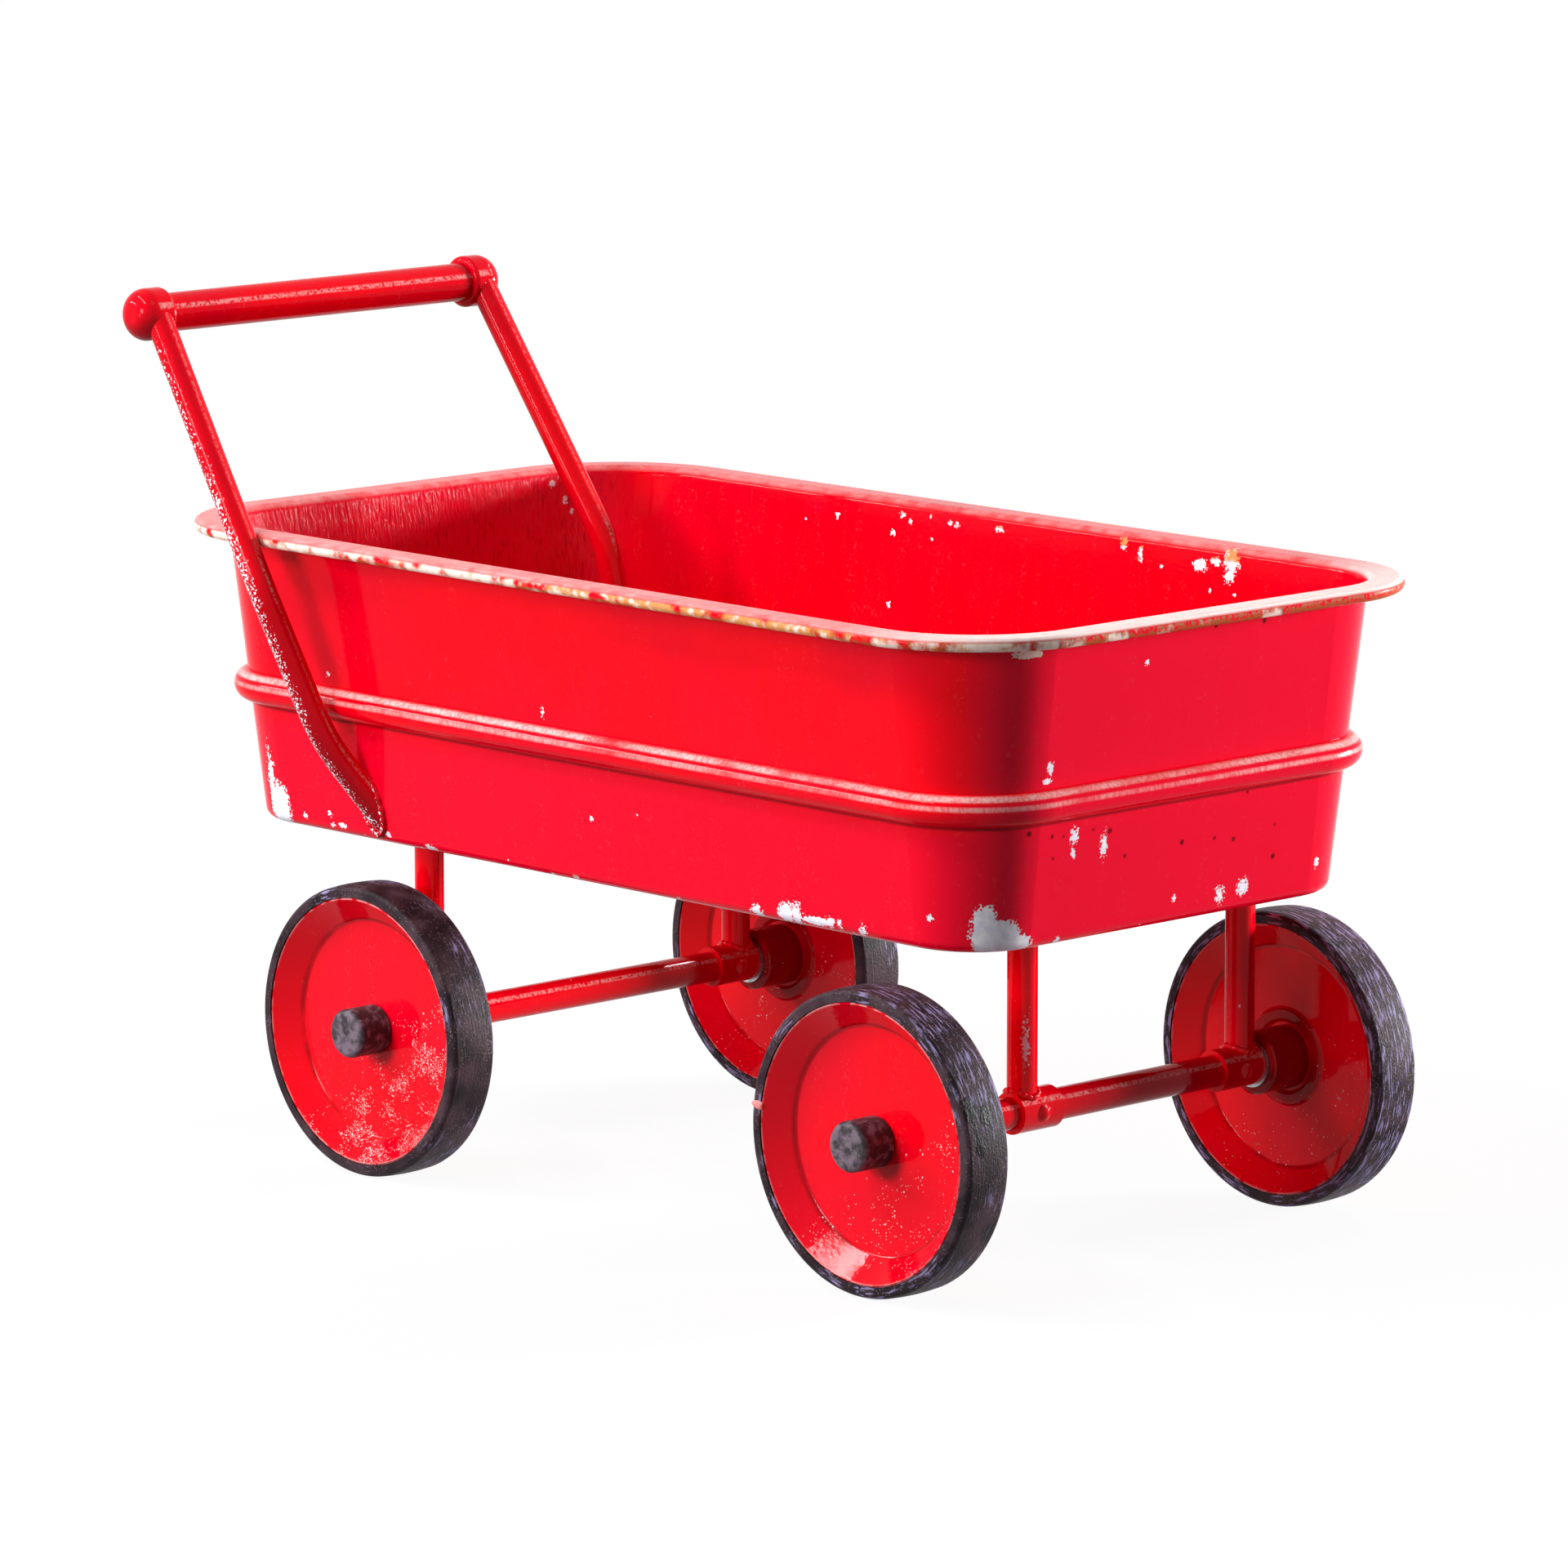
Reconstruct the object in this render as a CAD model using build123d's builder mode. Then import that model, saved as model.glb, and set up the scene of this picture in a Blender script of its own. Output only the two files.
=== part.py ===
"""A child's pressed-steel wagon: wired tub, tube legs, fixed axles, disc wheels and a fixed handle.

Millimetres. +X runs from the handle end to the front, +Y to the left side, +Z up.
The origin is on the ground under the middle of the tub.
"""
import os
from math import cos, radians, sin, tan

from build123d import *

# Sheet metal of the tub
SHEET = 1.2
FLOOR_LENGTH = 538.0
FLOOR_WIDTH = 269.0
FLOOR_CORNER_RADIUS = 38.0
FLOOR_EDGE_RADIUS = 6.0
TUB_HEIGHT = 156.0
WALL_DRAFT = 6.8
BEAD_HEIGHT = 70.0
BEAD_RADIUS = 8.0
RIM_OVERHANG = 17.5
RIM_NECK_RADIUS = 4.0
RIM_WIRE_RADIUS = 2.0
RIM_WIRE_CLEARANCE = 0.1
RIM_CURL_TURN = 240.0

# Axles and wheels, with distances along the axle measured from the middle of the wagon
FRONT_AXLE_INSET = 54.4
REAR_AXLE_INSET = 119.0
WHEEL_RADIUS = 75.0
TYRE_HEADROOM = 19.0
WHEEL_OUTSET = 8.0
AXLE_ROD_RADIUS = 5.0
AXLE_TUBE_RADIUS = 8.0
AXLE_TUBE_SETBACK = 27.5
RUNNING_CLEARANCE = 0.05
SLIP_CLEARANCE = 0.1
END_PLAY = 0.3
WASHER_THICKNESS = 1.4
WASHER_BAND = 7.0

# Wheel discs, hub and tyre
DISC_SHEET = 1.2
DISH_DEPTH = 12.4
DISH_BEND_RADIUS = 3.0
RING_STEP_RADIUS = 25.0
RING_STEP_HEIGHT = 1.8
HUB_RADIUS = 16.0
HUB_CHAMFER = 1.0
HUB_SPIGOT_WALL = 2.0
HUB_SPIGOT_PROUD = 0.2
BUSH_WALL = 3.0
TYRE_BAND = 6.5
TYRE_LIP = 1.1
TYRE_SHOULDER_RADIUS = 2.6
TYRE_CROWN = 0.5
TYRE_SEAT_CLEARANCE = 0.05
TYRE_ROOT_WIDTH = 2.0

# Axle caps and push nuts
CAP_WALL = 3.4
CAP_LENGTH = 20.3
CAP_NOSE_RADIUS = 3.0
CAP_MOUTH_RADIUS = 0.6
ROD_END_IN_CAP = 14.8
NUT_GRIP = 4.0
NUT_THICKNESS = 1.5
PRESS_CLEARANCE = 0.05

# Legs, their plates and collars
LEG_RADIUS = 7.5
LEG_WALL = 1.6
LEG_INBOARD = 46.0
COLLAR_WALL = 2.5
COLLAR_LENGTH = 27.0
COLLAR_OUTER_LAND = 8.0
PLATE_LENGTH = 50.0
PLATE_WIDTH = 26.0
PLATE_CORNER_RADIUS = 6.0
PLATE_THICKNESS = 2.0
RIVET_RADIUS = 2.0
RIVET_HEAD_RADIUS = 4.0
RIVET_HEAD_HEIGHT = 1.8
RIVET_SPACING = 34.0

# Handle
GRIP_OVERHANG = 13.0
GRIP_RISE = 106.0
GRIP_RADIUS = 10.0
GRIP_WALL = 2.0
GRIP_SOCKET = 6.0
END_CAP_RADIUS = 13.5
END_CAP_LENGTH = 20.0
END_CAP_INWARD = 8.0
END_CAP_EDGE = 2.5
END_CAP_NOSE = 10.0
ARM_RADIUS = 7.0
ARM_WALL = 1.6
ARM_LEAN = 31.2
ARM_INSET = 1.0
ARM_RIM_GAP = 0.3
LEFT_ARM_TOP_INSET = 93.5
LEFT_ARM_KNEE_INSET = 77.5
KNEE_BELOW_RIM = 25.0
KNEE_RADIUS = 60.0
SHIN_BELOW_BEAD = 17.0
SHIN_RADIUS = 120.0
SHIN_STEP_X = 23.0
BEAD_STAND_OFF = 6.0
RIGHT_FOOT_HEIGHT = 21.0
RIGHT_FOOT_STEP_X = 13.0
LEFT_FOOT_STEP_X = 28.0
LEFT_FOOT_STEP_Y = 9.0
FOOT_PLATE_RADIUS = 23.0
FOOT_RIVET_CIRCLE = 16.0
FOOT_RIVETS = 3

# Sizes worked out from the ones above
DRAFT_SLOPE = tan(radians(WALL_DRAFT))
TUB_BASE_Z = 2 * WHEEL_RADIUS + TYRE_HEADROOM
TUB_HALF_LENGTH = FLOOR_LENGTH / 2
TUB_HALF_WIDTH = FLOOR_WIDTH / 2
CORNER_X = TUB_HALF_LENGTH - FLOOR_CORNER_RADIUS
CORNER_Y = TUB_HALF_WIDTH - FLOOR_CORNER_RADIUS
FLOOR_TOP_Z = TUB_BASE_Z + SHEET
FLANGE_UNDER = TUB_HEIGHT - SHEET
CURL_SEAT_RADIUS = RIM_WIRE_RADIUS + RIM_WIRE_CLEARANCE
RIM_OFFSET = FLANGE_UNDER * DRAFT_SLOPE + RIM_OVERHANG
CURL_X = RIM_OFFSET - CURL_SEAT_RADIUS - SHEET
CURL_Z = FLANGE_UNDER - CURL_SEAT_RADIUS
RIM_HALF_WIDTH = TUB_HALF_WIDTH + RIM_OFFSET
AXLE_Z = WHEEL_RADIUS
FRONT_AXLE_X = TUB_HALF_LENGTH - FRONT_AXLE_INSET
REAR_AXLE_X = REAR_AXLE_INSET - TUB_HALF_LENGTH
WHEEL_MID = TUB_HALF_WIDTH + WHEEL_OUTSET
AXLE_TUBE_HALF = WHEEL_MID - AXLE_TUBE_SETBACK
LEG_OUTBOARD = AXLE_TUBE_HALF - COLLAR_OUTER_LAND
COLLAR_RADIUS = AXLE_TUBE_RADIUS + COLLAR_WALL
DISH_EDGE_RADIUS = WHEEL_RADIUS - TYRE_BAND
WEB_RADIUS = DISH_EDGE_RADIUS - DISH_DEPTH
TYRE_HALF = DISH_DEPTH + TYRE_LIP
WASHER_RADIUS = AXLE_ROD_RADIUS + WASHER_BAND
BUSH_RADIUS = AXLE_ROD_RADIUS + BUSH_WALL
HUB_SPIGOT_RADIUS = BUSH_RADIUS + HUB_SPIGOT_WALL
NUT_RADIUS = AXLE_ROD_RADIUS + NUT_GRIP
NUT_POCKET = NUT_RADIUS + SLIP_CLEARANCE
CAP_RADIUS = NUT_POCKET + CAP_WALL
HUB_START = AXLE_TUBE_HALF + WASHER_THICKNESS + END_PLAY
HUB_SHOULDER = WHEEL_MID - DISC_SHEET
HUB_END = WHEEL_MID + DISC_SHEET + HUB_SPIGOT_PROUD
CAP_START = HUB_END + END_PLAY
ROD_HALF = CAP_START + ROD_END_IN_CAP
PLATE_UNDER_Z = TUB_BASE_Z - PLATE_THICKNESS
GRIP_X = -(TUB_HALF_LENGTH + GRIP_OVERHANG)
GRIP_Z = TUB_BASE_Z + TUB_HEIGHT + GRIP_RISE
LEFT_ARM_TOP_Y = TUB_HALF_WIDTH - LEFT_ARM_TOP_INSET
LEFT_ARM_KNEE_Y = TUB_HALF_WIDTH - LEFT_ARM_KNEE_INSET
KNEE_Z = TUB_BASE_Z + TUB_HEIGHT - KNEE_BELOW_RIM
SHIN_Z = TUB_BASE_Z + BEAD_HEIGHT - SHIN_BELOW_BEAD
RIGHT_FOOT_Z = TUB_BASE_Z + RIGHT_FOOT_HEIGHT
LEAN_DOWN = Vector(sin(radians(ARM_LEAN)), 0, -cos(radians(ARM_LEAN)))
LEAN_FORWARD = Vector(cos(radians(ARM_LEAN)), 0, sin(radians(ARM_LEAN)))
RIGHT_ARM_Y = -(RIM_HALF_WIDTH + ARM_RIM_GAP + ARM_RADIUS)

# Each wheel corner: axle place along X, side (+1 left, -1 right), distance of its leg from the middle
CORNERS = {
    "front_left": (FRONT_AXLE_X, 1, LEG_OUTBOARD),
    "front_right": (FRONT_AXLE_X, -1, LEG_INBOARD),
    "rear_left": (REAR_AXLE_X, 1, LEG_OUTBOARD),
    "rear_right": (REAR_AXLE_X, -1, LEG_OUTBOARD),
}
AXLES = {"front": FRONT_AXLE_X, "rear": REAR_AXLE_X}


def save(piece, name):
    """Label a finished piece and write it to its own file."""
    piece.label = name
    export_step(piece, f"parts/{name}.step")


def wall_offset(height):
    """How far the outside of the wall stands out from the floor's edge at a height above the base."""
    return height * DRAFT_SLOPE


def around_tub(profile):
    """Carry a section, drawn as (outwards from the floor's edge, height), once round the tub."""
    end_plane = Plane((TUB_HALF_LENGTH, CORNER_Y, TUB_BASE_Z), x_dir=(1, 0, 0), z_dir=(0, -1, 0))
    side_plane = Plane((0, TUB_HALF_WIDTH, TUB_BASE_Z), x_dir=(0, 1, 0), z_dir=(1, 0, 0))
    with BuildPart() as ring:
        with BuildSketch(end_plane):
            add(profile)
        extrude(amount=CORNER_Y)
        with BuildSketch(end_plane):
            add(profile)
        revolve(axis=Axis((CORNER_X, CORNER_Y, 0), (0, 0, 1)), revolution_arc=90)
        with BuildSketch(side_plane):
            add(profile)
        extrude(amount=CORNER_X)
        mirror(about=Plane.XZ)
        mirror(about=Plane.YZ)
    return ring.part


def axle_plane(axle_x, side):
    """A plane through an axle, drawn as (distance out from the middle, radius)."""
    return Plane((axle_x, 0, AXLE_Z), x_dir=(0, side, 0), z_dir=(side, 0, 0))


def axle_axis(axle_x):
    """The line that an axle's pieces turn about."""
    return Axis((axle_x, 0, AXLE_Z), (0, 1, 0))


def ring_piece(plane, axis, start, end, inner, outer):
    """A plain round ring or sleeve, turned about an axle."""
    with BuildPart() as ring:
        with BuildSketch(plane):
            with Locations((start, inner)):
                Rectangle(end - start, outer - inner, align=(Align.MIN, Align.MIN))
        revolve(axis=axis)
    return ring.part


def rivet(place, grip):
    """A round-headed rivet whose heads bear on the two faces of what it grips, at the plane given."""
    head_sphere = (RIVET_HEAD_RADIUS**2 + RIVET_HEAD_HEIGHT**2) / (2 * RIVET_HEAD_HEIGHT)
    half_way = RIVET_HEAD_RADIUS / 2
    drop = head_sphere - (head_sphere**2 - half_way**2) ** 0.5
    crown = RIVET_HEAD_HEIGHT - drop
    section_plane = Plane(place.origin, x_dir=place.x_dir, z_dir=-place.y_dir)
    with BuildPart() as piece:
        with BuildSketch(section_plane):
            with BuildLine():
                top = grip + RIVET_HEAD_HEIGHT
                Line((0, -RIVET_HEAD_HEIGHT), (0, top))
                ThreePointArc((0, top), (half_way, grip + crown), (RIVET_HEAD_RADIUS, grip))
                Polyline(
                    (RIVET_HEAD_RADIUS, grip), (RIVET_RADIUS, grip), (RIVET_RADIUS, 0), (RIVET_HEAD_RADIUS, 0)
                )
                ThreePointArc((RIVET_HEAD_RADIUS, 0), (half_way, -crown), (0, -RIVET_HEAD_HEIGHT))
            make_face()
        revolve(axis=Axis(place.origin, place.z_dir))
    return piece.part


os.makedirs("parts", exist_ok=True)

# Places that the fasteners share with the sheet they go through
leg_places = [(x, side * out) for x, side, out in CORNERS.values()]
arm_top = Vector(GRIP_X, 0, GRIP_Z) + LEAN_FORWARD * (END_CAP_RADIUS - ARM_RADIUS - ARM_INSET)
knee_x = (arm_top + LEAN_DOWN * ((arm_top.Z - KNEE_Z) / cos(radians(ARM_LEAN)))).X
left_foot = (knee_x + LEFT_FOOT_STEP_X, LEFT_ARM_KNEE_Y + LEFT_FOOT_STEP_Y)
with BuildSketch(mode=Mode.PRIVATE) as leg_rivet_marks:
    with Locations(*leg_places):
        with GridLocations(RIVET_SPACING, 1, 2, 1):
            Circle(RIVET_RADIUS + RUNNING_CLEARANCE)
with BuildSketch(mode=Mode.PRIVATE) as foot_rivet_marks:
    with Locations(left_foot):
        with PolarLocations(FOOT_RIVET_CIRCLE, FOOT_RIVETS):
            Circle(RIVET_RADIUS + RUNNING_CLEARANCE)

# Tub section: floor edge, drafted wall with its swaged bead, flange and the curl round the rim wire
along_wall = Vector(sin(radians(WALL_DRAFT)), cos(radians(WALL_DRAFT)))
off_wall = Vector(cos(radians(WALL_DRAFT)), -sin(radians(WALL_DRAFT)))
bead_middle = Vector(wall_offset(BEAD_HEIGHT), BEAD_HEIGHT)
bead_foot = bead_middle - along_wall * BEAD_RADIUS
bead_head = bead_middle + along_wall * BEAD_RADIUS
floor_strip = FLOOR_EDGE_RADIUS + SHEET
with BuildSketch() as tub_section:
    with BuildLine():
        FilletPolyline((-floor_strip, 0), (0, 0), bead_foot, radius=FLOOR_EDGE_RADIUS)
        ThreePointArc(bead_foot, bead_middle + off_wall * BEAD_RADIUS, bead_head)
        FilletPolyline(
            bead_head,
            (wall_offset(FLANGE_UNDER), FLANGE_UNDER),
            (CURL_X, FLANGE_UNDER),
            radius=RIM_NECK_RADIUS,
        )
        CenterArc((CURL_X, CURL_Z), CURL_SEAT_RADIUS, 90, -RIM_CURL_TURN)
        offset(amount=SHEET, side=Side.LEFT)
    make_face()

with BuildPart() as tub:
    add(around_tub(tub_section.sketch))
    with BuildSketch(Plane.XY.offset(TUB_BASE_Z)):
        RectangleRounded(
            FLOOR_LENGTH - 2 * floor_strip, FLOOR_WIDTH - 2 * floor_strip, FLOOR_CORNER_RADIUS - floor_strip
        )
    extrude(amount=SHEET)
    with BuildSketch(Plane.XY.offset(TUB_BASE_Z)):
        add(leg_rivet_marks.sketch)
        add(foot_rivet_marks.sketch)
    extrude(amount=SHEET, mode=Mode.SUBTRACT)
save(tub.part, "tub")

# Wire that stiffens the curled rim
with BuildSketch() as wire_section:
    with Locations((CURL_X, CURL_Z)):
        Circle(RIM_WIRE_RADIUS)
save(around_tub(wire_section.sketch), "rim_wire")

# Axle rods and the tubes they run in, with the cross holes for the collar pins
pin_hole = RIVET_RADIUS + RUNNING_CLEARANCE
collar_middles = {}
for corner, (axle_x, side, leg_out) in CORNERS.items():
    collar_end = leg_out + COLLAR_OUTER_LAND
    collar_middles[corner] = collar_end - COLLAR_LENGTH / 2

for end, axle_x in AXLES.items():
    pin_places = [
        (side * collar_middles[corner], AXLE_Z) for corner, (x, side, _) in CORNERS.items() if x == axle_x
    ]
    pin_plane = Plane((axle_x, 0, 0), x_dir=(0, 1, 0), z_dir=(1, 0, 0))
    with BuildPart() as rod:
        with BuildSketch(Plane((axle_x, 0, AXLE_Z), x_dir=(1, 0, 0), z_dir=(0, 1, 0))):
            Circle(AXLE_ROD_RADIUS)
        extrude(amount=ROD_HALF, both=True)
        with BuildSketch(pin_plane):
            with Locations(*pin_places):
                Circle(pin_hole)
        extrude(amount=AXLE_TUBE_RADIUS, both=True, mode=Mode.SUBTRACT)
    save(rod.part, f"{end}_axle_rod")

    with BuildPart() as tube:
        with BuildSketch(Plane((axle_x, 0, AXLE_Z), x_dir=(1, 0, 0), z_dir=(0, 1, 0))):
            Circle(AXLE_TUBE_RADIUS)
            Circle(AXLE_ROD_RADIUS + SLIP_CLEARANCE, mode=Mode.SUBTRACT)
        extrude(amount=AXLE_TUBE_HALF, both=True)
        with BuildSketch(pin_plane):
            with Locations(*pin_places):
                Circle(pin_hole)
        extrude(amount=COLLAR_RADIUS, both=True, mode=Mode.SUBTRACT)
    save(tube.part, f"{end}_axle_tube")

# Legs, leg plates and collars at the four corners
for corner, (axle_x, side, leg_out) in CORNERS.items():
    leg_y = side * leg_out
    with BuildPart() as plate:
        with BuildSketch(Plane.XY.offset(PLATE_UNDER_Z)):
            with Locations((axle_x, leg_y)):
                RectangleRounded(PLATE_LENGTH, PLATE_WIDTH, PLATE_CORNER_RADIUS)
            add(leg_rivet_marks.sketch, mode=Mode.SUBTRACT)
        extrude(amount=PLATE_THICKNESS)
    save(plate.part, f"leg_plate_{corner}")

    with BuildPart() as leg:
        with BuildSketch(Plane.XY.offset(PLATE_UNDER_Z)):
            with Locations((axle_x, leg_y)):
                Circle(LEG_RADIUS)
                Circle(LEG_RADIUS - LEG_WALL, mode=Mode.SUBTRACT)
        extrude(amount=AXLE_Z - PLATE_UNDER_Z)
        with BuildSketch(Plane((axle_x, 0, AXLE_Z), x_dir=(1, 0, 0), z_dir=(0, 1, 0))):
            Circle(COLLAR_RADIUS)
        extrude(amount=AXLE_TUBE_HALF + COLLAR_LENGTH, both=True, mode=Mode.SUBTRACT)
    save(leg.part, f"leg_{corner}")

    middle = collar_middles[corner]
    half = COLLAR_LENGTH / 2
    with BuildPart() as collar:
        add(
            ring_piece(
                axle_plane(axle_x, side),
                axle_axis(axle_x),
                middle - half,
                middle + half,
                AXLE_TUBE_RADIUS + RUNNING_CLEARANCE,
                COLLAR_RADIUS,
            )
        )
        with BuildSketch(Plane((axle_x, 0, 0), x_dir=(0, 1, 0), z_dir=(1, 0, 0))):
            with Locations((side * middle, AXLE_Z)):
                Circle(pin_hole)
        extrude(amount=2 * COLLAR_RADIUS, both=True, mode=Mode.SUBTRACT)
    save(collar.part, f"axle_collar_{corner}")

# Wheels: a tyre wedged between two pressed disc halves, on a spigoted hub with its bush
spigot_hole = HUB_SPIGOT_RADIUS + PRESS_CLEARANCE
flat_web = [(0, spigot_hole), (0, RING_STEP_RADIUS)]
stepped_web = [
    (0, spigot_hole),
    (0, HUB_RADIUS + RING_STEP_HEIGHT),
    (-RING_STEP_HEIGHT, HUB_RADIUS + 2 * RING_STEP_HEIGHT),
    (-RING_STEP_HEIGHT, RING_STEP_RADIUS - RING_STEP_HEIGHT),
    (0, RING_STEP_RADIUS),
]
disc_halves = {"outer": (1, flat_web, Side.RIGHT), "inner": (-1, stepped_web, Side.LEFT)}
root_half = TYRE_ROOT_WIDTH / 2
seat_lift = TYRE_SEAT_CLEARANCE / cos(radians(45))
shoulder_start = TYRE_HALF - TYRE_SHOULDER_RADIUS
shoulder_base = WHEEL_RADIUS - TYRE_CROWN - TYRE_SHOULDER_RADIUS
shoulder_middle = TYRE_SHOULDER_RADIUS * cos(radians(45))

for corner, (axle_x, side, _) in CORNERS.items():
    axis = axle_axis(axle_x)
    wheel_plane = Plane((axle_x, side * WHEEL_MID, AXLE_Z), x_dir=(0, side, 0), z_dir=(side, 0, 0))
    for half_name, (outward, web, sheet_side) in disc_halves.items():
        with BuildPart() as disc:
            with BuildSketch(wheel_plane):
                with BuildLine():
                    Polyline(*web)
                    FilletPolyline(
                        (0, RING_STEP_RADIUS),
                        (0, WEB_RADIUS),
                        (outward * DISH_DEPTH, DISH_EDGE_RADIUS),
                        radius=DISH_BEND_RADIUS,
                    )
                    offset(amount=DISC_SHEET, side=sheet_side)
                make_face()
            revolve(axis=axis)
        save(disc.part, f"wheel_disc_{half_name}_{corner}")

    with BuildPart() as tyre:
        with BuildSketch(wheel_plane):
            with BuildLine():
                Polyline(
                    (0, WEB_RADIUS + root_half + seat_lift),
                    (root_half, WEB_RADIUS + root_half + seat_lift),
                    (DISH_DEPTH, DISH_EDGE_RADIUS + seat_lift),
                    (TYRE_HALF, DISH_EDGE_RADIUS + seat_lift),
                    (TYRE_HALF, shoulder_base),
                )
                ThreePointArc(
                    (TYRE_HALF, shoulder_base),
                    (shoulder_start + shoulder_middle, shoulder_base + shoulder_middle),
                    (shoulder_start, WHEEL_RADIUS - TYRE_CROWN),
                )
                mirror(about=Plane.YZ)
                ThreePointArc(
                    (shoulder_start, WHEEL_RADIUS - TYRE_CROWN),
                    (0, WHEEL_RADIUS),
                    (-shoulder_start, WHEEL_RADIUS - TYRE_CROWN),
                )
            make_face()
        revolve(axis=axis)
    save(tyre.part, f"tyre_{corner}")

    plane = axle_plane(axle_x, side)
    with BuildPart() as hub:
        with BuildSketch(plane):
            with BuildLine():
                Polyline(
                    (HUB_START, BUSH_RADIUS),
                    (HUB_START, HUB_RADIUS - HUB_CHAMFER),
                    (HUB_START + HUB_CHAMFER, HUB_RADIUS),
                    (HUB_SHOULDER, HUB_RADIUS),
                    (HUB_SHOULDER, HUB_SPIGOT_RADIUS),
                    (HUB_END, HUB_SPIGOT_RADIUS),
                    (HUB_END, BUSH_RADIUS),
                    close=True,
                )
            make_face()
        revolve(axis=axis)
    save(hub.part, f"wheel_hub_{corner}")

    bush_bore = AXLE_ROD_RADIUS + RUNNING_CLEARANCE
    bush = ring_piece(plane, axis, HUB_START, HUB_END, bush_bore, BUSH_RADIUS - PRESS_CLEARANCE)
    save(bush, f"wheel_bush_{corner}")

    rod_fit = AXLE_ROD_RADIUS + PRESS_CLEARANCE
    pocket_end = CAP_START + NUT_THICKNESS + 2 * SLIP_CLEARANCE
    cap_end = CAP_START + CAP_LENGTH
    with BuildPart() as axle_cap:
        with BuildSketch(plane):
            with BuildLine():
                FilletPolyline(
                    (CAP_START, NUT_POCKET),
                    (CAP_START, CAP_RADIUS),
                    (cap_end, CAP_RADIUS),
                    (cap_end, 0),
                    radius=(CAP_MOUTH_RADIUS, CAP_NOSE_RADIUS),
                )
                Polyline(
                    (cap_end, 0),
                    (ROD_HALF + SLIP_CLEARANCE, 0),
                    (ROD_HALF + SLIP_CLEARANCE, rod_fit),
                    (pocket_end, rod_fit),
                    (pocket_end, NUT_POCKET),
                    (CAP_START, NUT_POCKET),
                )
            make_face()
        revolve(axis=axis)
    save(axle_cap.part, f"axle_cap_{corner}")

# Washers and push nuts that hold the wheels endways
with BuildPart() as washers:
    for axle_x, side, _ in CORNERS.values():
        washer_end = AXLE_TUBE_HALF + WASHER_THICKNESS
        washer_bore = AXLE_ROD_RADIUS + SLIP_CLEARANCE
        place = axle_plane(axle_x, side)
        add(ring_piece(place, axle_axis(axle_x), AXLE_TUBE_HALF, washer_end, washer_bore, WASHER_RADIUS))
save(washers.part, "axle_washers")

with BuildPart() as push_nuts:
    for axle_x, side, _ in CORNERS.values():
        nut_start = CAP_START + SLIP_CLEARANCE
        nut_end = nut_start + NUT_THICKNESS
        nut_bore = AXLE_ROD_RADIUS + PRESS_CLEARANCE
        place = axle_plane(axle_x, side)
        add(ring_piece(place, axle_axis(axle_x), nut_start, nut_end, nut_bore, NUT_RADIUS))
save(push_nuts.part, "push_nuts")

# Pins through the collars, and the rivets of the leg plates
with BuildPart() as collar_pins:
    for corner, (axle_x, side, _) in CORNERS.items():
        back_of_collar = (axle_x - COLLAR_RADIUS, side * collar_middles[corner], AXLE_Z)
        add(rivet(Plane(back_of_collar, x_dir=(0, 1, 0), z_dir=(1, 0, 0)), 2 * COLLAR_RADIUS))
save(collar_pins.part, "collar_pins")

with BuildPart() as leg_rivets:
    for mark in leg_rivet_marks.sketch.faces():
        spot = mark.center()
        add(rivet(Plane((spot.X, spot.Y, PLATE_UNDER_Z)), PLATE_THICKNESS + SHEET))
save(leg_rivets.part, "leg_plate_rivets")

# Handle grip and its end caps
right_cap_inner = RIGHT_ARM_Y + END_CAP_INWARD
left_cap_inner = LEFT_ARM_TOP_Y - END_CAP_INWARD
grip_start = (GRIP_X, right_cap_inner - GRIP_SOCKET, GRIP_Z)
with BuildPart() as grip:
    with BuildSketch(Plane(grip_start, x_dir=(1, 0, 0), z_dir=(0, 1, 0))):
        Circle(GRIP_RADIUS)
        Circle(GRIP_RADIUS - GRIP_WALL, mode=Mode.SUBTRACT)
    extrude(amount=left_cap_inner - right_cap_inner + 2 * GRIP_SOCKET)
save(grip.part, "handle_grip")

cap_blanks = {}
for hand, inner_y, out in (("right", right_cap_inner, -1), ("left", left_cap_inner, 1)):
    mouth = (GRIP_X, inner_y, GRIP_Z)
    with BuildPart() as blank:
        with BuildSketch(Plane(mouth, x_dir=(1, 0, 0), z_dir=(0, 0, out))):
            with BuildLine():
                FilletPolyline(
                    (0, 0),
                    (END_CAP_RADIUS, 0),
                    (END_CAP_RADIUS, END_CAP_LENGTH),
                    (0, END_CAP_LENGTH),
                    radius=(END_CAP_EDGE, END_CAP_NOSE),
                )
                Line((0, END_CAP_LENGTH), (0, 0))
            make_face()
        revolve(axis=Axis(mouth, (0, 1, 0)))
    cap_blanks[hand] = blank.part
    with BuildPart() as end_cap:
        add(blank.part)
        with BuildSketch(Plane(mouth, x_dir=(1, 0, 0), z_dir=(0, out, 0))):
            Circle(GRIP_RADIUS + PRESS_CLEARANCE)
        extrude(amount=GRIP_SOCKET, mode=Mode.SUBTRACT)
    save(end_cap.part, f"handle_cap_{hand}")

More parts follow.
